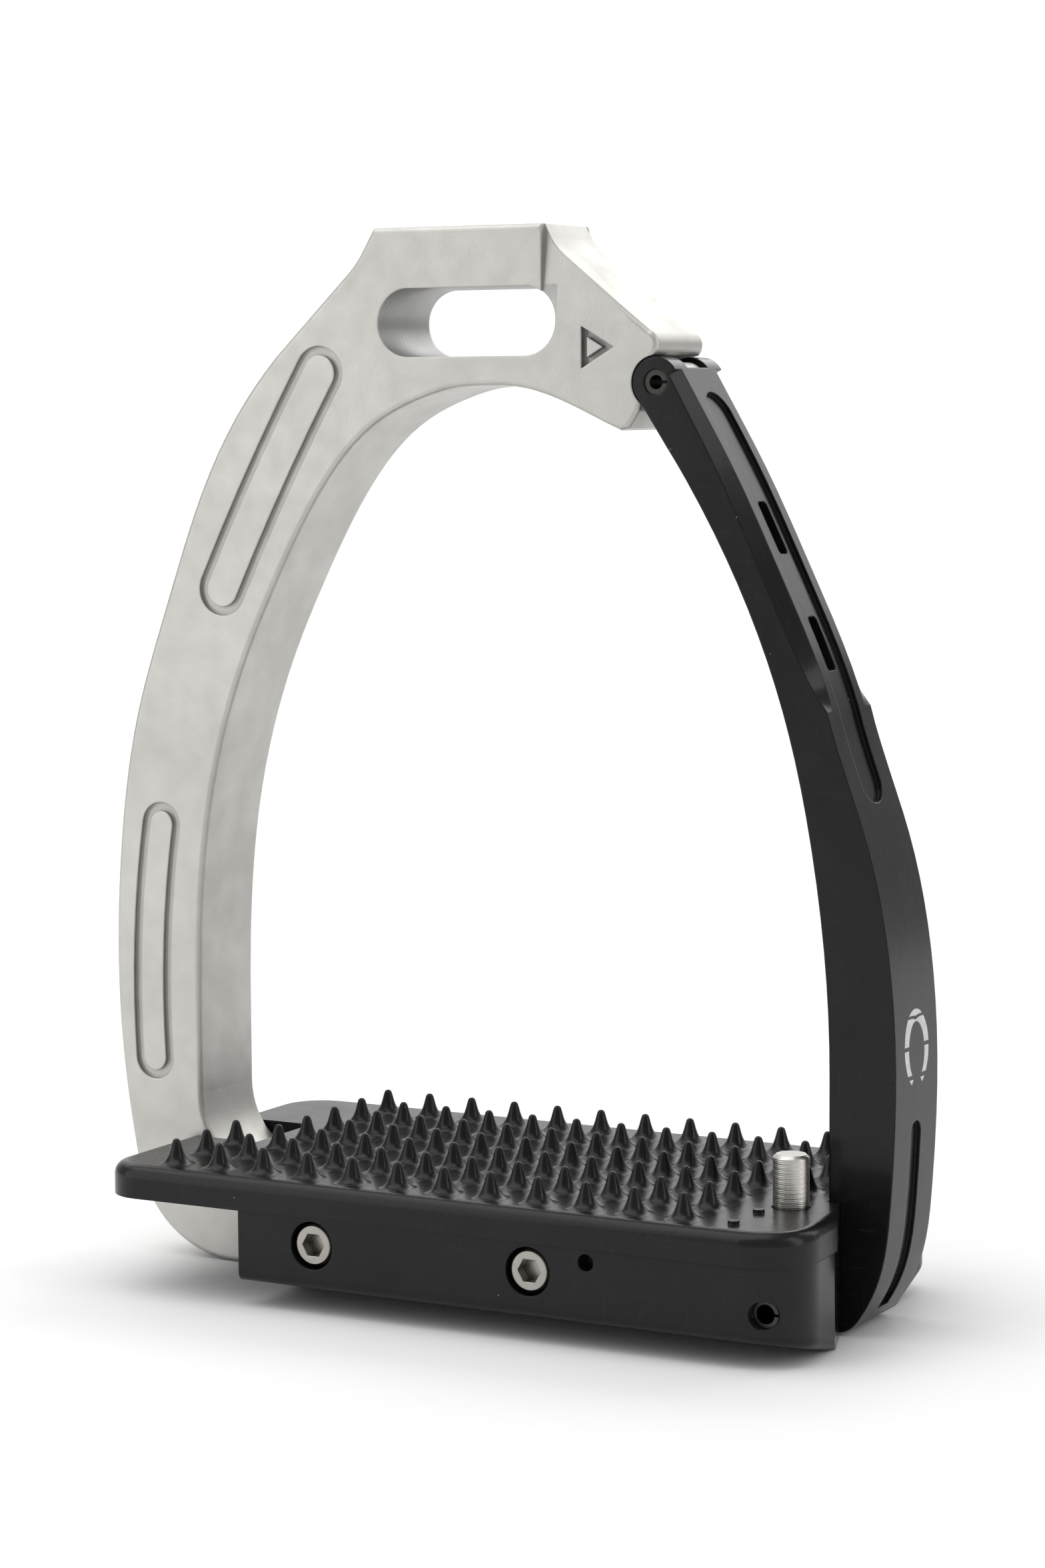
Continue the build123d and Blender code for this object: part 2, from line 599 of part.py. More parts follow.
with BuildPart() as release_arm:
    with BuildSketch(Plane.XZ):
        with BuildLine():
            Line((opening_half_width, arm_foot_z + 0.6), arm_inner[0])
            add(arm_edge)
            Line(arm_inner[-1], boss_in)
            Polyline(boss_in, (hinge_x, hinge_z), boss_out)
            add(upper_edge)
            add(lower_edge)
            Line(foot_corner, (opening_half_width, arm_foot_z + 0.6))
        make_face()
        with Locations((hinge_x, hinge_z)):
            Circle(boss_radius)
    extrude(amount=half_depth, both=True)
    # Long scalloped facets along the upper outer edges, fading out at their lower end
    for side in (-1, 1):
        facet_ends = []
        for depth in (-1.0, facet_width + 0.3):
            near = [pushed_out(upper_edge, k / 8, (depth - facet_width) * facet_share(k / 8))
                    for k in range(9)]
            far = [pushed_out(upper_edge, k / 8, 6.0) for k in range(9)]
            facet_ends.append(band(near, far, Plane.XZ.offset(side * (half_depth - depth))))
        loft(facet_ends, ruled=True, mode=Mode.SUBTRACT)
    # Shallow racetrack recess down the upper outer face
    recess_start = upper_edge @ 0.07
    recess_end = lower_edge @ 0.15
    recess_long = (recess_end - recess_start).length
    recess_run = (recess_end - recess_start) / recess_long
    recess_middle = (recess_start + recess_end) / 2
    with BuildSketch(Plane(origin=(recess_middle.X, 0, recess_middle.Y),
                           x_dir=(recess_run.X, 0, recess_run.Y),
                           z_dir=(-recess_run.Y, 0, recess_run.X))):
        SlotOverall(recess_long, 2 * recess_half)
    racetrack = extrude(amount=20, both=True, mode=Mode.PRIVATE)
    for edge, first, last in ((upper_edge, 0.02, 1.0), (lower_edge, 0.0, 0.25)):
        skin = extrude(band(*strip(edge, first, last, recess_depth, 2.0)),
                       amount=recess_half + 1, both=True, mode=Mode.PRIVATE)
        add(skin & racetrack, mode=Mode.SUBTRACT)
    # Groove down the lower outer face, with a round top
    foot_skin = extrude(band(*strip(lower_edge, *foot_groove_run, groove_depth, 3.0)),
                        amount=foot_groove_half + 1, both=True, mode=Mode.PRIVATE)
    with BuildSketch(Plane.YZ.offset(opening_half_width)):
        with Locations((0, foot_groove_top / 2)):
            SlotOverall(foot_groove_top, 2 * foot_groove_half, rotation=90)
    foot_racetrack = extrude(amount=20, mode=Mode.PRIVATE)
    add(foot_skin & foot_racetrack, mode=Mode.SUBTRACT)
    # Seat for the liner on the inner face, and the windows for its two clips
    extrude(band(*strip(arm_edge, *liner_shares, liner_thickness, 3.0)),
            amount=liner_half + joint_gap, both=True, mode=Mode.SUBTRACT)
    for height in clip_heights:
        with BuildSketch(clip_plane(height)):
            RectangleRounded(clip_length + 0.6, clip_width + 0.4, 0.7)
        extrude(amount=14, both=True, mode=Mode.SUBTRACT)
    # Fork for the frame's tongue, and the bore for the hinge pin
    fork_fan = [(hinge_x + 3 * boss_radius * cos(radians(turn)), hinge_z + 3 * boss_radius * sin(radians(turn)))
                for turn in (fork_from, 100, 160, fork_to)]
    with BuildSketch(Plane.XZ):
        with Locations((hinge_x, hinge_z)):
            Circle(tongue_radius + body_gap)
        with BuildLine():
            Polyline((hinge_x, hinge_z), *fork_fan, close=True)
        make_face()
    extrude(amount=cheek_inner, both=True, mode=Mode.SUBTRACT)
    with BuildSketch(Plane.XZ):
        with Locations((hinge_x, hinge_z)):
            Circle(hinge_pin_radius + press_gap)
    extrude(amount=half_depth + 1, both=True, mode=Mode.SUBTRACT)
    # Pocket for the hook, seat and screw holes for the striker
    with BuildSketch(Plane.YZ.offset(opening_half_width - 1)):
        with Locations((0, (pocket_bottom_z + pocket_top_z) / 2)):
            Rectangle(2 * hook_half + 1.2, pocket_top_z - pocket_bottom_z)
    extrude(amount=pocket_depth + 1, mode=Mode.SUBTRACT)
    with BuildSketch(Plane.YZ.offset(opening_half_width - 1)):
        with Locations((0, (striker_bottom_z + striker_top_z) / 2)):
            Rectangle(2 * striker_half + 0.2, striker_top_z - striker_bottom_z + 0.2)
    extrude(amount=striker_thickness + 1.1, mode=Mode.SUBTRACT)
    with BuildSketch(Plane.YZ.offset(opening_half_width)):
        with Locations(*((side * striker_screw_y, striker_screw_z) for side in (-1, 1))):
            Circle(striker_screw_radius + press_gap)
    extrude(amount=striker_screw_length + 0.3, mode=Mode.SUBTRACT)

with BuildPart() as arm_liner:
    extrude(band(*strip(arm_edge, liner_shares[0] + 0.003, liner_shares[1] - 0.003,
                        liner_thickness - joint_gap, 0)), amount=liner_half, both=True)
    for height in clip_heights:
        with BuildSketch(clip_plane(height).offset(0.5)):
            RectangleRounded(clip_length, clip_width, 0.5)
        extrude(amount=clip_reach)

# -------------------------------------------------------------------- hinge pieces
def rolled_section(middle_x, middle_z, first_y, outer_radius, bore_radius):
    """Section of a rolled pin with a slit along one side, facing the toe side."""
    with BuildSketch(Plane.XZ.offset(-first_y)) as section:
        with Locations((middle_x, middle_z)):
            Circle(outer_radius)
            Circle(bore_radius, mode=Mode.SUBTRACT)
        with Locations((middle_x + outer_radius, middle_z)):
            Rectangle(2 * (outer_radius - bore_radius) + 1, 0.4, mode=Mode.SUBTRACT)
    return section.sketch


with BuildPart() as hinge_pin:
    extrude(rolled_section(hinge_x, hinge_z, 0.2 - half_depth, hinge_pin_radius, hinge_pin_bore),
            amount=0.4 - branch_depth)

with BuildPart() as hinge_bush:
    with BuildSketch(Plane.XZ):
        with Locations((hinge_x, hinge_z)):
            Circle(bush_radius)
            Circle(hinge_pin_radius + running_gap, mode=Mode.SUBTRACT)
    extrude(amount=tongue_half, both=True)

with BuildPart() as hinge_washers:
    for side in (-1, 1):
        with BuildSketch(Plane.XZ.offset(side * (tongue_half + running_gap))):
            with Locations((hinge_x, hinge_z)):
                Circle(tongue_radius - 0.1)
                Circle(hinge_pin_radius + running_gap, mode=Mode.SUBTRACT)
        extrude(amount=side * washer_thickness)

# ---------------------------------------------------------------- striker and magnet
with BuildPart() as striker_plate:
    with BuildSketch(Plane.YZ.offset(opening_half_width + joint_gap)):
        with Locations((0, (striker_bottom_z + striker_top_z) / 2)):
            Rectangle(2 * striker_half, striker_top_z - striker_bottom_z)
    extrude(amount=striker_thickness - joint_gap)
    chamfer(striker_plate.edges().filter_by(Axis.Y).group_by(Axis.Z)[-1], 0.4)
    with BuildSketch(Plane.YZ.offset(opening_half_width)):
        with Locations(*((side * striker_screw_y, striker_screw_z) for side in (-1, 1))):
            Circle(striker_screw_radius + running_gap)
    extrude(amount=striker_thickness + 1, mode=Mode.SUBTRACT)
    with BuildSketch(Plane.YZ.offset(opening_half_width + joint_gap)):
        with Locations(*((side * striker_screw_y, striker_screw_z) for side in (-1, 1))):
            Circle(striker_head_radius + running_gap)
    extrude(amount=0.7, mode=Mode.SUBTRACT)

with BuildPart() as striker_screws:
    for side in (-1, 1):
        for radius, first, last in ((striker_head_radius, 0.2, 0.75),
                                    (striker_screw_radius, 0.5, striker_screw_length)):
            with BuildSketch(Plane.YZ.offset(opening_half_width + first)):
                with Locations((side * striker_screw_y, striker_screw_z)):
                    Circle(radius)
            extrude(amount=last - first)
        with BuildSketch(Plane.YZ.offset(opening_half_width + 0.2)):
            with Locations((side * striker_screw_y, striker_screw_z)):
                Rectangle(3 * striker_head_radius, 0.4, rotation=45)
        extrude(amount=0.3, mode=Mode.SUBTRACT)

with BuildPart() as closing_magnet:
    with BuildSketch(Plane.YZ.offset(nest_wall_x - joint_gap)):
        with Locations((0, magnet_z)):
            Circle(magnet_radius)
    extrude(amount=-magnet_thickness)

# -------------------------------------------------------------------------- plunger
with BuildPart() as plunger:
    with BuildSketch(Plane.XY.offset(plunger_foot_bottom)):
        with Locations((plunger_x, plunger_y)):
            Circle(plunger_nub_radius)
    extrude(amount=plunger_foot_top - plunger_foot_bottom)
    with BuildSketch(Plane.XY.offset(plunger_foot_bottom + plunger_nub_height)):
        with Locations((plunger_x, plunger_y)):
            Circle(plunger_foot_radius)
        with Locations((keeper_pin_x - keeper_pin_radius - body_gap + plunger_foot_radius, plunger_y)):
            Rectangle(2 * plunger_foot_radius, 2 * plunger_foot_radius, mode=Mode.SUBTRACT)
    extrude(amount=plunger_foot_top - plunger_foot_bottom - plunger_nub_height)
    with BuildSketch(Plane.XY.offset(plunger_foot_top - 1)):
        with Locations((plunger_x, plunger_y)):
            Circle(plunger_radius)
    extrude(amount=tread_top_z + plunger_stand - plunger_foot_top + 1)
    chamfer(plunger.faces().sort_by(Axis.Z)[-1].edges(), 0.5)

with BuildPart() as plunger_guide:
    with BuildSketch(Plane.XY.offset(bush_bottom_z)):
        with Locations((plunger_x, plunger_y)):
            Circle(guide_radius)
            Circle(plunger_radius + running_gap, mode=Mode.SUBTRACT)
    extrude(amount=tread_top_z - guide_sink - bush_bottom_z)
    with BuildSketch(Plane.XY.offset(seal_z - seal_wire - running_gap)):
        with Locations((plunger_x, plunger_y)):
            Circle(plunger_radius + seal_groove)
    extrude(amount=2 * (seal_wire + running_gap), mode=Mode.SUBTRACT)

with BuildPart() as plunger_seal:
    with BuildSketch(Plane.XZ.offset(-plunger_y)):
        with Locations((plunger_x + plunger_radius + running_gap + seal_wire, seal_z)):
            Circle(seal_wire)
    revolve(axis=Axis((plunger_x, plunger_y, 0), (0, 0, 1)))

# --------------------------------------------------------------------- latch lever
pad_top_z = plunger_foot_bottom - joint_gap
pad_bottom_z = pad_top_z - pad_thickness
beam_bottom_z = window_bottom_z + 3.2
beam_top_z = beam_bottom_z + 2.8
nose_left_x = opening_half_width + striker_thickness + 1.7
nose_right_x = nose_left_x + 1.4
nose_bottom_z = striker_top_z + 1.5
hub_radius = lever_pin_radius + 1.6
pad_run = [(lever_pin_x, lever_pin_z + hub_radius - 0.1), (lever_pin_x + 3.6, lever_pin_z + 0.9),
           (plunger_x - 6.5, pad_top_z), (pad_end_x, pad_top_z), (pad_end_x, pad_bottom_z),
           (plunger_x - 8.5, pad_bottom_z), (lever_pin_x + 2.1, lever_pin_z - 2.8),
           (lever_pin_x, lever_pin_z - hub_radius + 0.1)]
hook_run = [(lever_pin_x, lever_pin_z + hub_radius - 0.1), (lever_pin_x + 3.6, lever_pin_z + 0.9),
            (lever_pin_x + 7.0, beam_top_z), (nose_right_x, beam_top_z), (nose_right_x, nose_bottom_z),
            (nose_left_x, nose_bottom_z), (nose_left_x, beam_bottom_z), (lever_pin_x + 10, beam_bottom_z),
            (lever_pin_x + 6.0, lever_pin_z - 5.5), (lever_pin_x, lever_pin_z - hub_radius + 0.1)]
lever_front_y = plunger_y - pad_half

with BuildPart() as latch_lever:
    with BuildSketch(Plane.XZ.offset(-lever_front_y)):
        with BuildLine():
            Polyline(*pad_run, close=True)
        make_face()
    extrude(amount=-2 * pad_half)
    with BuildSketch(Plane.XZ.offset(hook_half)):
        with BuildLine():
            Polyline(*hook_run, close=True)
        make_face()
    extrude(amount=-2 * hook_half)
    with BuildSketch(Plane.XZ.offset(-lever_front_y)):
        with BuildLine():
            Polyline(*pad_run, close=True)
        make_face()
        with Locations((lever_pin_x + 14 + 20, lever_pin_z)):
            Rectangle(40, 40, mode=Mode.SUBTRACT)
        with Locations((lever_pin_x, lever_pin_z)):
            Circle(hub_radius)
    extrude(amount=lever_front_y - hook_half)
    with BuildSketch(Plane.XZ):
        with Locations((lever_pin_x, lever_pin_z)):
            Circle(lever_pin_radius + running_gap)
    extrude(amount=40, both=True, mode=Mode.SUBTRACT)

with BuildPart() as lever_pin:
    with BuildSketch(Plane.XZ.offset(-base_front_y - lever_pin_sink)):
        with Locations((lever_pin_x, lever_pin_z)):
            Circle(lever_pin_radius)
    extrude(amount=base_front_y + lever_pin_sink - lever_pin_end_y + joint_gap)

with BuildPart() as lever_spacers:
    for first_y, last_y in ((cavity_front_y + joint_gap, lever_front_y - joint_gap),
                            (hook_half + joint_gap, cavity_back_y - joint_gap)):
        with BuildSketch(Plane.XZ.offset(-first_y)):
            with Locations((lever_pin_x, lever_pin_z)):
                Circle(lever_pin_radius + 1.3)
                Circle(lever_pin_radius + running_gap, mode=Mode.SUBTRACT)
        extrude(amount=first_y - last_y)

# Compression spring that stands on the housing floor and lifts the lever's beam
spring_first_z = base_floor + spring_wire + running_gap
spring_last_z = beam_bottom_z - spring_wire - running_gap

with BuildPart() as latch_spring:
    with BuildLine():
        coil_line = Helix(pitch=spring_pitch, height=spring_last_z - spring_first_z,
                          radius=spring_radius, center=(spring_x, 0, spring_first_z))
    with BuildSketch(Plane(origin=coil_line @ 0, z_dir=coil_line % 0)):
        Circle(spring_wire)
    sweep(path=coil_line, is_frenet=True)

with BuildPart() as keeper_pin:
    extrude(rolled_section(keeper_pin_x, keeper_pin_z, base_front_y + keeper_pin_sink,
                           keeper_pin_radius, keeper_pin_bore),
            amount=base_front_y + keeper_pin_sink - keeper_pin_end_y)

# ---------------------------------------------------------------------- hand over
pieces = {"frame": frame, "tread_plate": tread_plate, "base_housing": base_housing,
          "clamp_screws": clamp_screws, "plate_screws": plate_screws, "release_arm": release_arm,
          "arm_liner": arm_liner, "hinge_pin": hinge_pin, "hinge_bush": hinge_bush,
          "hinge_washers": hinge_washers, "striker_plate": striker_plate,
          "striker_screws": striker_screws, "closing_magnet": closing_magnet, "plunger": plunger,
          "plunger_guide": plunger_guide, "plunger_seal": plunger_seal, "latch_lever": latch_lever,
          "lever_pin": lever_pin, "lever_spacers": lever_spacers, "latch_spring": latch_spring,
          "keeper_pin": keeper_pin}
for name, piece in pieces.items():
    piece.part.label = name
    export_step(piece.part, f"parts/{name}.step")
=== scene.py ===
"""Looks of a safety stirrup iron: blasted aluminium branch, black enamelled tread and arm, bright steel.

Metres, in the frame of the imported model: +Z up, +X the rider's outer side, -Y the toe side.
Every pattern reads object coordinates in metres, so it stays with its piece when a joint moves.
"""
import json
from math import cos, pi, radians, sin

import bpy
import numpy as np
from mathutils import Matrix, Vector


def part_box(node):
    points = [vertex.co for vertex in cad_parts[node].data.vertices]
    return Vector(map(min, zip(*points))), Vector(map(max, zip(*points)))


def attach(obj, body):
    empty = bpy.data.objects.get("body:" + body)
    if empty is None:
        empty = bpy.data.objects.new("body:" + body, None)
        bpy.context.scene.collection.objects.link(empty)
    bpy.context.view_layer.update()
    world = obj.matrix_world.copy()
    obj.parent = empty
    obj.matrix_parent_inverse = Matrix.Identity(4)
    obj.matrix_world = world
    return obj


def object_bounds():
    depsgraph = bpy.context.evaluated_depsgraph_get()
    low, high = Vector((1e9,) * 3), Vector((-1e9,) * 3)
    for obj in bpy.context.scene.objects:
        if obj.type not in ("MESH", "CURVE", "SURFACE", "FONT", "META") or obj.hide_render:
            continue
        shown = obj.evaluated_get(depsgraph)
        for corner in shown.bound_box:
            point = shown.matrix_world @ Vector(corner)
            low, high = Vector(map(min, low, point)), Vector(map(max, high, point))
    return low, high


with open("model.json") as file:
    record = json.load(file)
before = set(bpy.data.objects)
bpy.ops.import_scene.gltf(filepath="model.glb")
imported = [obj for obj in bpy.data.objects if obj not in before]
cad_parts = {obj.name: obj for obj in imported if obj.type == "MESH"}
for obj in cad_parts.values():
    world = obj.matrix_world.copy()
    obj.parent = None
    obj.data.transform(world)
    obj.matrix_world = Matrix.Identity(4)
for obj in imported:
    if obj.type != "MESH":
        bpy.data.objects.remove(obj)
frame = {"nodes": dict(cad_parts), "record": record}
cad_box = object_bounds()
MM = 0.001


# ------------------------------------------------------------------ node helpers
def node(tree, kind, links=None, **settings):
    """Adds a node; links gives an input's value, or the socket that feeds it."""
    made = tree.nodes.new("ShaderNode" + kind)
    for key, value in settings.items():
        setattr(made, key, value)
    for key, value in (links or {}).items():
        if isinstance(value, bpy.types.NodeSocket):
            tree.links.new(value, made.inputs[key])
        else:
            made.inputs[key].default_value = value
    return made


def math(tree, operation, first, second=0.0, third=0.0, clamp=False):
    """Output of a Math node."""
    return node(tree, "Math", {0: first, 1: second, 2: third}, operation=operation,
                use_clamp=clamp).outputs[0]


def remap(tree, value, low, high, to_low=0.0, to_high=1.0, smooth=False):
    """Value moved from one range to another and held inside it."""
    kind = "SMOOTHSTEP" if smooth else "LINEAR"
    return node(tree, "MapRange", {"Value": value, "From Min": low, "From Max": high, "To Min": to_low,
                                   "To Max": to_high}, interpolation_type=kind).outputs[0]


def blend_colour(tree, share, first, second):
    """Colour between two, by a share."""
    mixed = node(tree, "Mix", {"Factor": share}, data_type="RGBA")
    for socket, value in ((mixed.inputs[6], first), (mixed.inputs[7], second)):
        if isinstance(value, bpy.types.NodeSocket):
            tree.links.new(value, socket)
        else:
            socket.default_value = (*value, 1.0)
    return mixed.outputs[2]


def effect(name, inputs, outputs):
    """New shader node group: its tree, its inputs by name and its output node."""
    tree = bpy.data.node_groups.new(name, "ShaderNodeTree")
    kinds = {"value": "NodeSocketFloat", "vector": "NodeSocketVector", "colour": "NodeSocketColor"}
    for label, kind, default in inputs:
        socket = tree.interface.new_socket(label, in_out="INPUT", socket_type=kinds[kind])
        if default is not None:
            socket.default_value = default
    for label, kind in outputs:
        tree.interface.new_socket(label, in_out="OUTPUT", socket_type=kinds[kind])
    entry = tree.nodes.new("NodeGroupInput")
    leave = tree.nodes.new("NodeGroupOutput")
    return tree, entry.outputs, leave


def use(tree, group, **links):
    """Places a group in a material; underscores in the keywords stand for spaces."""
    placed = tree.nodes.new("ShaderNodeGroup")
    placed.node_tree = group
    for key, value in links.items():
        label = key.replace("_", " ")
        if isinstance(value, bpy.types.NodeSocket):
            tree.links.new(value, placed.inputs[label])
        else:
            placed.inputs[label].default_value = value
    return placed.outputs


# ---------------------------------------------------------------- shared effects
def make_mottle():
    """Slow cloudy variation: two noises of one size and a quarter of it, averaged."""
    tree, given, leave = effect("Mottle", [("Place", "vector", None), ("Size", "value", 0.02)],
                                [("Value", "value")])
    scale = math(tree, "DIVIDE", 1.0, given["Size"])
    slow = node(tree, "TexNoise", {"Vector": given["Place"], "Scale": scale, "Detail": 3.0})
    quick = node(tree, "TexNoise", {"Vector": given["Place"], "Scale": math(tree, "MULTIPLY", scale, 4.0),
                                    "Detail": 2.0})
    both = math(tree, "MULTIPLY_ADD", quick.outputs[0], 0.4, math(tree, "MULTIPLY", slow.outputs[0], 0.6))
    tree.links.new(remap(tree, both, 0.3, 0.7), leave.inputs["Value"])
    return tree


def make_blast():
    """Bead-blasted skin: round dimples of one grain size, with a finer grain on top."""
    tree, given, leave = effect("Blasted skin", [("Place", "vector", None), ("Grain", "value", 0.0005)],
                                [("Height", "value"), ("Shade", "value")])
    scale = math(tree, "DIVIDE", 1.0, given["Grain"])
    pits = node(tree, "TexVoronoi", {"Vector": given["Place"], "Scale": scale}, feature="SMOOTH_F1")
    fine = node(tree, "TexNoise", {"Vector": given["Place"], "Scale": math(tree, "MULTIPLY", scale, 2.3),
                                   "Detail": 3.0})
    height = math(tree, "MULTIPLY_ADD", fine.outputs[0], 0.6, math(tree, "MULTIPLY", pits.outputs[0], 0.7))
    tree.links.new(height, leave.inputs["Height"])
    tree.links.new(remap(tree, fine.outputs[0], 0.35, 0.65), leave.inputs["Shade"])
    return tree


def make_crevice_shade():
    """Painted shade mask from ambient occlusion: rises to one where other faces stand closer than a distance.
    """
    tree, given, leave = effect("Painted crevice shade", [("Reach", "value", 0.0015)], [("Mask", "value")])
    shade = node(tree, "AmbientOcclusion", {"Distance": given["Reach"]}, samples=8)
    tree.links.new(remap(tree, shade.outputs["AO"], 0.92, 0.45), leave.inputs["Mask"])
    return tree


def make_scratches():
    """Hairlines: noise stretched forty times along one axis, cut to its thin crests."""
    tree, given, leave = effect("Hairlines", [("Place", "vector", None), ("Width", "value", 0.0002),
                                              ("Amount", "value", 0.5)],
                                [("Mask", "value")])
    scale = math(tree, "DIVIDE", 1.0, given["Width"])
    total = None
    for turn, stretch in ((0.5, (0.025, 1.0, 1.0)), (2.1, (1.0, 1.0, 0.02))):
        turned = node(tree, "Mapping", {"Vector": given["Place"], "Rotation": (turn, turn, 0.3),
                                        "Scale": stretch})
        lines = node(tree, "TexNoise", {"Vector": turned.outputs[0], "Scale": scale, "Detail": 1.0})
        crest = remap(tree, lines.outputs[0], 0.70, 0.76)
        total = crest if total is None else math(tree, "MAXIMUM", total, crest)
    tree.links.new(math(tree, "MULTIPLY", total, given["Amount"]), leave.inputs["Mask"])
    return tree


def make_dust():
    """Specks: the middles of scattered cells, in about a tenth of the cells."""
    tree, given, leave = effect("Dust specks", [("Place", "vector", None), ("Spacing", "value", 0.002),
                                                ("Speck", "value", 0.06)],
                                [("Mask", "value")])
    scale = math(tree, "DIVIDE", 1.0, given["Spacing"])
    cells = node(tree, "TexVoronoi", {"Vector": given["Place"], "Scale": scale})
    middle = math(tree, "LESS_THAN", cells.outputs["Distance"], given["Speck"])
    chosen = node(tree, "SeparateColor", {"Color": cells.outputs["Color"]})
    few = math(tree, "GREATER_THAN", chosen.outputs[0], 0.9)
    tree.links.new(math(tree, "MULTIPLY", middle, few), leave.inputs["Mask"])
    return tree


def make_turning():
    """Fine lathe or mill lines: a sine along one coordinate, broken up by noise."""
    tree, given, leave = effect("Tool lines", [("Along", "value", 0.0), ("Pitch", "value", 0.0003),
                                               ("Place", "vector", None)],
                                [("Height", "value")])
    noise = node(tree, "TexNoise", {"Vector": given["Place"], "Scale": 900.0, "Detail": 1.0})
    count = math(tree, "DIVIDE", given["Along"], given["Pitch"])
    phase = math(tree, "MULTIPLY_ADD", count, 2 * pi, math(tree, "MULTIPLY", noise.outputs[0], 5.0))
    wave = math(tree, "SINE", phase)
    coarse = math(tree, "SINE", math(tree, "MULTIPLY", phase, 0.37))
    tree.links.new(math(tree, "MULTIPLY_ADD", wave, 0.5, math(tree, "MULTIPLY", coarse, 0.5)),
                   leave.inputs["Height"])
    return tree


def make_soft_edge():
    """Normal that turns smoothly over a sharp edge within a radius."""
    tree, given, leave = effect("Soft edge", [("Radius", "value", 0.0003)], [("Normal", "vector")])
    rounded = node(tree, "Bevel", {"Radius": given["Radius"]}, samples=6)
    tree.links.new(rounded.outputs[0], leave.inputs["Normal"])
    return tree


mottle = make_mottle()
blast = make_blast()
crevice_shade = make_crevice_shade()
scratches = make_scratches()
dust = make_dust()
tool_lines = make_turning()
soft_edge = make_soft_edge()


# --------------------------------------------------------------------- materials
def start(name):
    """Material with a Principled shader: its tree, the shader and the object coordinates."""
    material = bpy.data.materials.new(name)
    material.use_nodes = True
    tree = material.node_tree
    tree.nodes.clear()
    shader = node(tree, "BsdfPrincipled")
    out = node(tree, "OutputMaterial")
    tree.links.new(shader.outputs[0], out.inputs[0])
    place = node(tree, "TexCoord").outputs["Object"]
    return material, tree, shader, place


def feed(tree, shader, colour, roughness, height, depth, edge):
    """Connects colour, roughness and a bump of a real depth in metres over softened edges."""
    tree.links.new(colour, shader.inputs["Base Color"])
    tree.links.new(roughness, shader.inputs["Roughness"])
    rounded = use(tree, soft_edge, Radius=edge)["Normal"]
    bump = node(tree, "Bump", {"Strength": 1.0, "Distance": depth, "Height": height, "Normal": rounded})
    tree.links.new(bump.outputs[0], shader.inputs["Normal"])


def cast_aluminium():
    """Warm grey blasted aluminium, darkened by painted shade in its grooves and inside the leather slot,
    where the wall is milled.
    """
    material, tree, shader, place = start("blasted_aluminium")
    shader.inputs["Metallic"].default_value = 0.82
    clouds = use(tree, mottle, Place=place, Size=0.016)["Value"]
    skin = use(tree, blast, Place=place, Grain=0.00042)
    dark = use(tree, crevice_shade, Reach=0.0014)["Mask"]
    rubbed = use(tree, scratches, Place=place, Width=0.00025, Amount=0.35)["Mask"]
    colour = blend_colour(tree, clouds, (0.50, 0.487, 0.458), (0.57, 0.557, 0.528))
    colour = blend_colour(tree, math(tree, "MULTIPLY", skin["Shade"], 0.16), colour, (0.50, 0.49, 0.47))
    # Painted shade: colour pulled towards dark grey where the occlusion mask finds grooves and corners.
    colour = blend_colour(tree, math(tree, "MULTIPLY", dark, 0.62), colour, (0.20, 0.20, 0.205))
    # Inside the slot the wall is bare milled metal with tool lines in its bump, and its colour is darkened
    # there as painted shade
    axes = node(tree, "SeparateXYZ", {"Vector": place})
    across = remap(tree, math(tree, "ABSOLUTE", math(tree, "SUBTRACT", axes.outputs[0], slot_middle.x)),
                   slot_half_length, slot_half_length - 0.2 * MM)
    upright = remap(tree, math(tree, "ABSOLUTE", math(tree, "SUBTRACT", axes.outputs[2], slot_middle.z)),
                    slot_half_height, slot_half_height - 0.2 * MM)
    inside = remap(tree, math(tree, "ABSOLUTE", axes.outputs[1]), slot_half_depth, slot_half_depth - 0.4 * MM)
    milled_and_shaded_slot = math(tree, "MULTIPLY", math(tree, "MULTIPLY", across, upright), inside)
    lines = use(tree, tool_lines, Along=axes.outputs[1], Pitch=0.00045, Place=place)["Height"]
    # Painted shade: the slot's inner wall pulled towards mid grey.
    colour = blend_colour(tree, math(tree, "MULTIPLY", milled_and_shaded_slot, 0.75), colour, (0.36, 0.36, 0.36))
    rough = remap(tree, clouds, 0.0, 1.0, 0.50, 0.41)
    rough = math(tree, "SUBTRACT", rough, math(tree, "MULTIPLY", rubbed, 0.08))
    height = math(tree, "MULTIPLY_ADD", math(tree, "MULTIPLY", milled_and_shaded_slot, lines), 0.8, skin["Height"])
    feed(tree, shader, colour, rough, height, 0.000022, 0.0004)
    return material


def black_enamel(name, gloss, grain, depth):
    """Black enamel over a casting: orange peel, faint hairlines, pale specks of dust."""
    material, tree, shader, place = start(name)
    shader.inputs["Coat Weight"].default_value = 0.08
    shader.inputs["Coat Roughness"].default_value = 0.06
    shader.inputs["Specular IOR Level"].default_value = 0.22
    clouds = use(tree, mottle, Place=place, Size=0.02)["Value"]
    skin = use(tree, blast, Place=place, Grain=grain)
    specks = use(tree, dust, Place=place, Spacing=0.0028, Speck=0.045)["Mask"]
    lines = use(tree, scratches, Place=place, Width=0.00022, Amount=0.5)["Mask"]
    colour = blend_colour(tree, clouds, (0.0045, 0.0045, 0.005), (0.0085, 0.0085, 0.009))
    colour = blend_colour(tree, math(tree, "MULTIPLY", specks, 0.5), colour, (0.30, 0.29, 0.27))
    colour = blend_colour(tree, math(tree, "MULTIPLY", lines, 0.12), colour, (0.12, 0.12, 0.12))
    rough = remap(tree, clouds, 0.0, 1.0, gloss, gloss + 0.07)
    rough = math(tree, "MULTIPLY_ADD", math(tree, "ADD", specks, lines), 0.12, rough)
    feed(tree, shader, colour, rough, skin["Height"], depth, 0.00035)
    return material


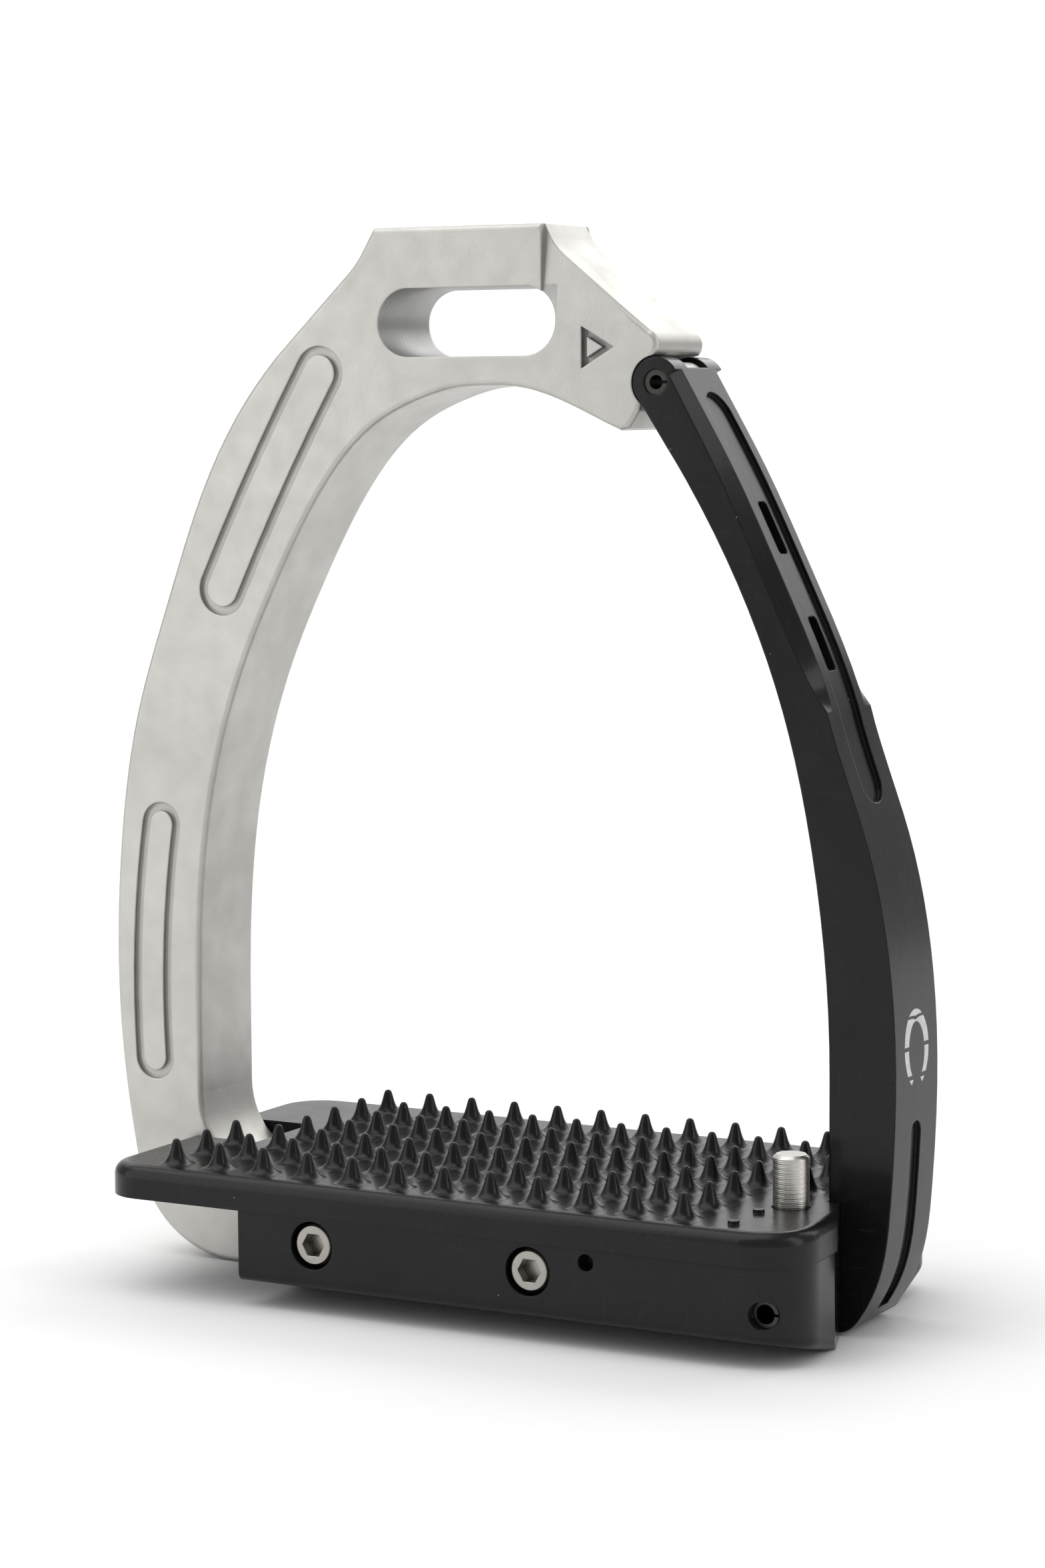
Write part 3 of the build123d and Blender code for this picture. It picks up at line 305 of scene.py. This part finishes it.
def turned_steel(name, tone, gloss, pitch, axis, depth=0.000006):
    """Bright steel with tool lines across one axis and painted shade darkening its corners."""
    material, tree, shader, place = start(name)
    shader.inputs["Metallic"].default_value = 1.0
    axes = node(tree, "SeparateXYZ", {"Vector": place})
    clouds = use(tree, mottle, Place=place, Size=0.003)["Value"]
    lines = use(tree, tool_lines, Along=axes.outputs[axis], Pitch=pitch, Place=place)["Height"]
    dark = use(tree, crevice_shade, Reach=0.0012)["Mask"]
    dim = tuple(0.82 * c for c in tone)
    colour = blend_colour(tree, clouds, dim, tone)
    # Painted shade: colour pulled towards near black where the occlusion mask finds corners.
    colour = blend_colour(tree, math(tree, "MULTIPLY", dark, 0.7), colour, (0.05, 0.045, 0.04))
    rough = remap(tree, clouds, 0.0, 1.0, gloss, gloss + 0.12)
    feed(tree, shader, colour, rough, lines, depth, 0.0002)
    return material


def sintered_bronze():
    """Porous bronze: open grain with dark pores."""
    material, tree, shader, place = start("sintered_bronze")
    shader.inputs["Metallic"].default_value = 0.9
    skin = use(tree, blast, Place=place, Grain=0.0003)
    clouds = use(tree, mottle, Place=place, Size=0.004)["Value"]
    colour = blend_colour(tree, clouds, (0.40, 0.27, 0.13), (0.56, 0.40, 0.21))
    colour = blend_colour(tree, math(tree, "MULTIPLY", skin["Shade"], 0.3), colour, (0.12, 0.08, 0.05))
    feed(tree, shader, colour, remap(tree, clouds, 0.0, 1.0, 0.35, 0.5), skin["Height"], 0.00001, 0.0001)
    return material


def matt_polymer(name, dark, pale, rough_low, rough_high, grain):
    """Moulded rubber or nylon: fine grain, a dusty bloom in slow clouds."""
    material, tree, shader, place = start(name)
    skin = use(tree, blast, Place=place, Grain=grain)
    clouds = use(tree, mottle, Place=place, Size=0.008)["Value"]
    specks = use(tree, dust, Place=place, Spacing=0.0015, Speck=0.08)["Mask"]
    colour = blend_colour(tree, clouds, dark, pale)
    colour = blend_colour(tree, math(tree, "MULTIPLY", specks, 0.4), colour, (0.2, 0.19, 0.18))
    feed(tree, shader, colour, remap(tree, clouds, 0.0, 1.0, rough_low, rough_high), skin["Height"],
         0.000012, 0.00015)
    return material


def white_print():
    """Screen-printed ink: off-white, slightly uneven, a little worn through."""
    material, tree, shader, place = start("white_print")
    clouds = use(tree, mottle, Place=place, Size=0.0012)["Value"]
    skin = use(tree, blast, Place=place, Grain=0.0002)
    colour = blend_colour(tree, clouds, (0.52, 0.51, 0.50), (0.74, 0.74, 0.73))
    colour = blend_colour(tree, math(tree, "MULTIPLY", skin["Shade"], 0.25), colour, (0.32, 0.32, 0.32))
    feed(tree, shader, colour, remap(tree, clouds, 0.0, 1.0, 0.4, 0.55), skin["Height"], 0.000004, 0.00003)
    return material


record = frame["record"]
openings = {o["name"]: o["box_m"] for o in record["physics"]["openings"]}
slot_low, slot_high = (Vector(corner) for corner in openings["leather_slot"])
slot_middle = (slot_low + slot_high) / 2
slot_half_length = 16.4 * MM
slot_half_height = 5.7 * MM
slot_half_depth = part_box("frame")[1].y

aluminium = cast_aluminium()
gloss_black = black_enamel("gloss_enamel", 0.13, 0.0017, 0.00001)
tread_black = black_enamel("tread_enamel", 0.24, 0.0009, 0.00003)
arm_black = black_enamel("arm_enamel", 0.20, 0.0014, 0.000012)
screw_steel = turned_steel("screw_steel", (0.42, 0.40, 0.37), 0.26, 0.00022, 1)
plunger_steel = turned_steel("plunger_steel", (0.60, 0.58, 0.54), 0.26, 0.00028, 2, 0.00001)
pin_steel = turned_steel("pin_steel", (0.07, 0.065, 0.06), 0.34, 0.0003, 0)
plain_steel = turned_steel("plain_steel", (0.58, 0.57, 0.55), 0.25, 0.0004, 0)
nickel = turned_steel("nickel_plate", (0.70, 0.68, 0.64), 0.12, 0.0005, 2, 0.000002)
bronze = sintered_bronze()
rubber = matt_polymer("moulded_rubber", (0.012, 0.012, 0.013), (0.024, 0.024, 0.025), 0.6, 0.8, 0.0005)
nylon = matt_polymer("black_nylon", (0.015, 0.015, 0.016), (0.022, 0.022, 0.023), 0.42, 0.55, 0.0004)
ink = white_print()

finishes = {
    "frame": aluminium, "tread_plate": tread_black, "base_housing": gloss_black, "release_arm": arm_black,
    "clamp_screws": screw_steel, "plate_screws": pin_steel, "arm_liner": rubber, "hinge_pin": pin_steel,
    "hinge_bush": bronze, "hinge_washers": nylon, "striker_plate": plain_steel,
    "striker_screws": screw_steel, "closing_magnet": nickel, "plunger": plunger_steel,
    "plunger_guide": bronze, "plunger_seal": rubber, "latch_lever": plain_steel, "lever_pin": pin_steel,
    "lever_spacers": nylon, "latch_spring": plain_steel, "keeper_pin": pin_steel}
for name, finish in finishes.items():
    slots = frame["nodes"][name].data.materials
    for index in range(len(slots)):
        slots[index] = finish


# -------------------------------------------------------------------- new pieces
def grid_mesh(name, points):
    """Mesh of a grid of points (rows, columns, 3), its columns joined round and its ends capped."""
    rows, columns = points.shape[:2]
    index = np.arange(rows * columns).reshape(rows, columns)
    here = index[:-1]
    there = index[1:]
    quads = np.stack([here, np.roll(here, -1, 1), np.roll(there, -1, 1), there], -1).reshape(-1, 4)
    faces = quads.tolist()
    faces.append(index[0][::-1].tolist())
    faces.append(index[-1].tolist())
    mesh = bpy.data.meshes.new(name)
    mesh.from_pydata(points.reshape(-1, 3).tolist(), [], faces)
    mesh.update()
    made = bpy.data.objects.new(name, mesh)
    bpy.context.scene.collection.objects.link(made)
    return made


def outer_face_x(heights):
    """X of the arm's outer face: straight lines between the points along the face's upright rims."""
    mesh = frame["nodes"]["release_arm"].data
    co = np.empty(len(mesh.vertices) * 3)
    mesh.vertices.foreach_get("co", co)
    co = co.reshape(-1, 3)
    rim_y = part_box("release_arm")[1].y - 0.05 * MM
    inner_side_x = 62 * MM
    rim = co[(np.abs(co[:, 1]) > rim_y) & (co[:, 0] > inner_side_x)]
    rim = rim[np.argsort(rim[:, 2])]
    return np.interp(heights, rim[:, 2], rim[:, 0])


def horseshoe_mark():
    """Printed horseshoe: a flat ribbon along a U, wide at its toe and narrow at its two heels.

    The U's angle t runs from -m to m. A point lies at (w sin t, h cos t) from the middle,
    pinched at the heels, and the ribbon's half-width shrinks with the square of t.
    Each section is a thin rectangle laid on the arm's outer face.
    """
    most = radians(152)
    half_width = 3.9 * MM
    half_height = 5.4 * MM
    middle_z = 44.0 * MM
    sunk = -0.05
    proud = 0.01
    t = np.linspace(-most, most, 73)
    share = np.abs(t) / most
    wide = half_width * (1 - 0.10 * share ** 4)
    y = wide * np.sin(t)
    z = middle_z + half_height * np.cos(t)
    half = (0.95 - 0.40 * share ** 2) * MM
    run = np.stack([np.gradient(y), np.gradient(z)], -1)
    run /= np.linalg.norm(run, axis=1, keepdims=True)
    side = np.stack([-run[:, 1], run[:, 0]], -1)
    corners = []
    for across, lift in ((-1, sunk), (1, sunk), (1, proud), (-1, proud)):
        yy = y + side[:, 0] * half * across
        zz = z + side[:, 1] * half * across
        corners.append(np.stack([outer_face_x(zz) + lift * MM, yy, zz], -1))
    return grid_mesh("horseshoe_mark", np.stack(corners, 1))


mark = horseshoe_mark()
mark.data.materials.append(ink)
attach(mark, "arm")


# ---------------------------------------------------------------- floor and light
def backdrop():
    """Pale sweep: flat floor that curves up behind on a quarter circle and goes on upright."""
    back, radius, height, half = 1.6, 0.8, 2.6, 3.5
    turn = np.linspace(0, pi / 2, 25)
    y = np.concatenate([[-3.0, -0.5], back + radius * np.sin(turn), [back + radius]])
    z = np.concatenate([[0.0, 0.0], radius * (1 - np.cos(turn)), [height]])
    turned = Matrix.Rotation(camera_azimuth, 3, "Z")
    x = np.linspace(-half, half, 5)
    grid = np.stack(np.broadcast_arrays(x[None, :], y[:, None], z[:, None] - 0.02 * MM), -1)
    grid = grid @ np.array(turned).T
    rows, columns = grid.shape[:2]
    index = np.arange(rows * columns).reshape(rows, columns)
    quads = np.stack([index[:-1, :-1], index[:-1, 1:], index[1:, 1:], index[1:, :-1]], -1).reshape(-1, 4)
    mesh = bpy.data.meshes.new("floor")
    mesh.from_pydata(grid.reshape(-1, 3).tolist(), [], quads.tolist())
    mesh.polygons.foreach_set("use_smooth", [True] * len(mesh.polygons))
    floor = bpy.data.objects.new("floor", mesh)
    bpy.context.scene.collection.objects.link(floor)
    material, tree, shader, place = start("floor_paint")
    clouds = use(tree, mottle, Place=place, Size=0.6)["Value"]
    tree.links.new(blend_colour(tree, clouds, (0.86, 0.86, 0.86), (0.89, 0.89, 0.89)),
                   shader.inputs["Base Color"])
    shader.inputs["Roughness"].default_value = 0.9
    shader.inputs["Specular IOR Level"].default_value = 0.1
    mesh.materials.append(material)


def soft_light(name, place, target, width, height, power, warmth=(1.0, 1.0, 1.0)):
    """Rectangular area light aimed at a point."""
    lamp = bpy.data.lights.new(name, "AREA")
    lamp.shape = "RECTANGLE"
    lamp.size = width
    lamp.size_y = height
    lamp.energy = power
    lamp.color = warmth
    holder = bpy.data.objects.new(name, lamp)
    bpy.context.scene.collection.objects.link(holder)
    holder.location = place
    holder.rotation_euler = (Vector(target) - Vector(place)).to_track_quat("-Z", "Y").to_euler()
    return holder


# ------------------------------------------------------------------------- camera
camera_place = Vector((288.69, -530.16, 142.76)) * MM
camera_azimuth = radians(28.585)
camera_pitch = radians(5.747)
camera_roll = radians(-0.318)
focal_length = 86.53

eye = bpy.data.objects.new("camera", bpy.data.cameras.new("camera"))
bpy.context.scene.collection.objects.link(eye)
bpy.context.scene.camera = eye
eye.data.sensor_fit = "AUTO"
eye.data.sensor_width = 36.0
eye.data.lens = focal_length
eye.data.clip_start = 0.01
eye.data.clip_end = 50.0
looking = Vector((-sin(camera_azimuth) * cos(camera_pitch), cos(camera_azimuth) * cos(camera_pitch),
                  -sin(camera_pitch)))
rightward = Vector((cos(camera_azimuth), sin(camera_azimuth), 0.0))
upward = rightward.cross(looking)
turned = Matrix((rightward, upward, -looking)).transposed() @ Matrix.Rotation(camera_roll, 3, "Z")
eye.matrix_world = Matrix.Translation(camera_place) @ turned.to_4x4()

backdrop()
middle = (cad_box[0] + cad_box[1]) / 2
soft_light("overhead", middle + Vector((-0.25, -0.15, 0.95)), middle, 1.1, 1.1, 7.0)
soft_light("left_front", middle + Vector((-0.75, -0.75, 0.25)), middle, 0.8, 1.2, 4.2)
soft_light("right_side", middle + Vector((1.0, 0.05, 0.35)), middle, 0.35, 1.2, 3.0)
behind = Vector((-sin(camera_azimuth), cos(camera_azimuth), 0.0))
soft_light("backdrop_wash", middle + behind * 1.6 + Vector((0, 0, 1.25)),
           middle + behind * 2.0 + Vector((0, 0, 0.1)), 2.6, 1.2, 17.0)
soft_light("back_fill", middle + Vector((0.2, 1.1, 0.7)), middle, 1.2, 0.8, 4.5)

world = bpy.data.worlds.new("studio")
world.use_nodes = True
world.node_tree.nodes["Background"].inputs[0].default_value = (1.0, 1.0, 1.0, 1.0)
world.node_tree.nodes["Background"].inputs[1].default_value = 0.42
bpy.context.scene.world = world
bpy.context.scene.view_settings.view_transform = "Standard"
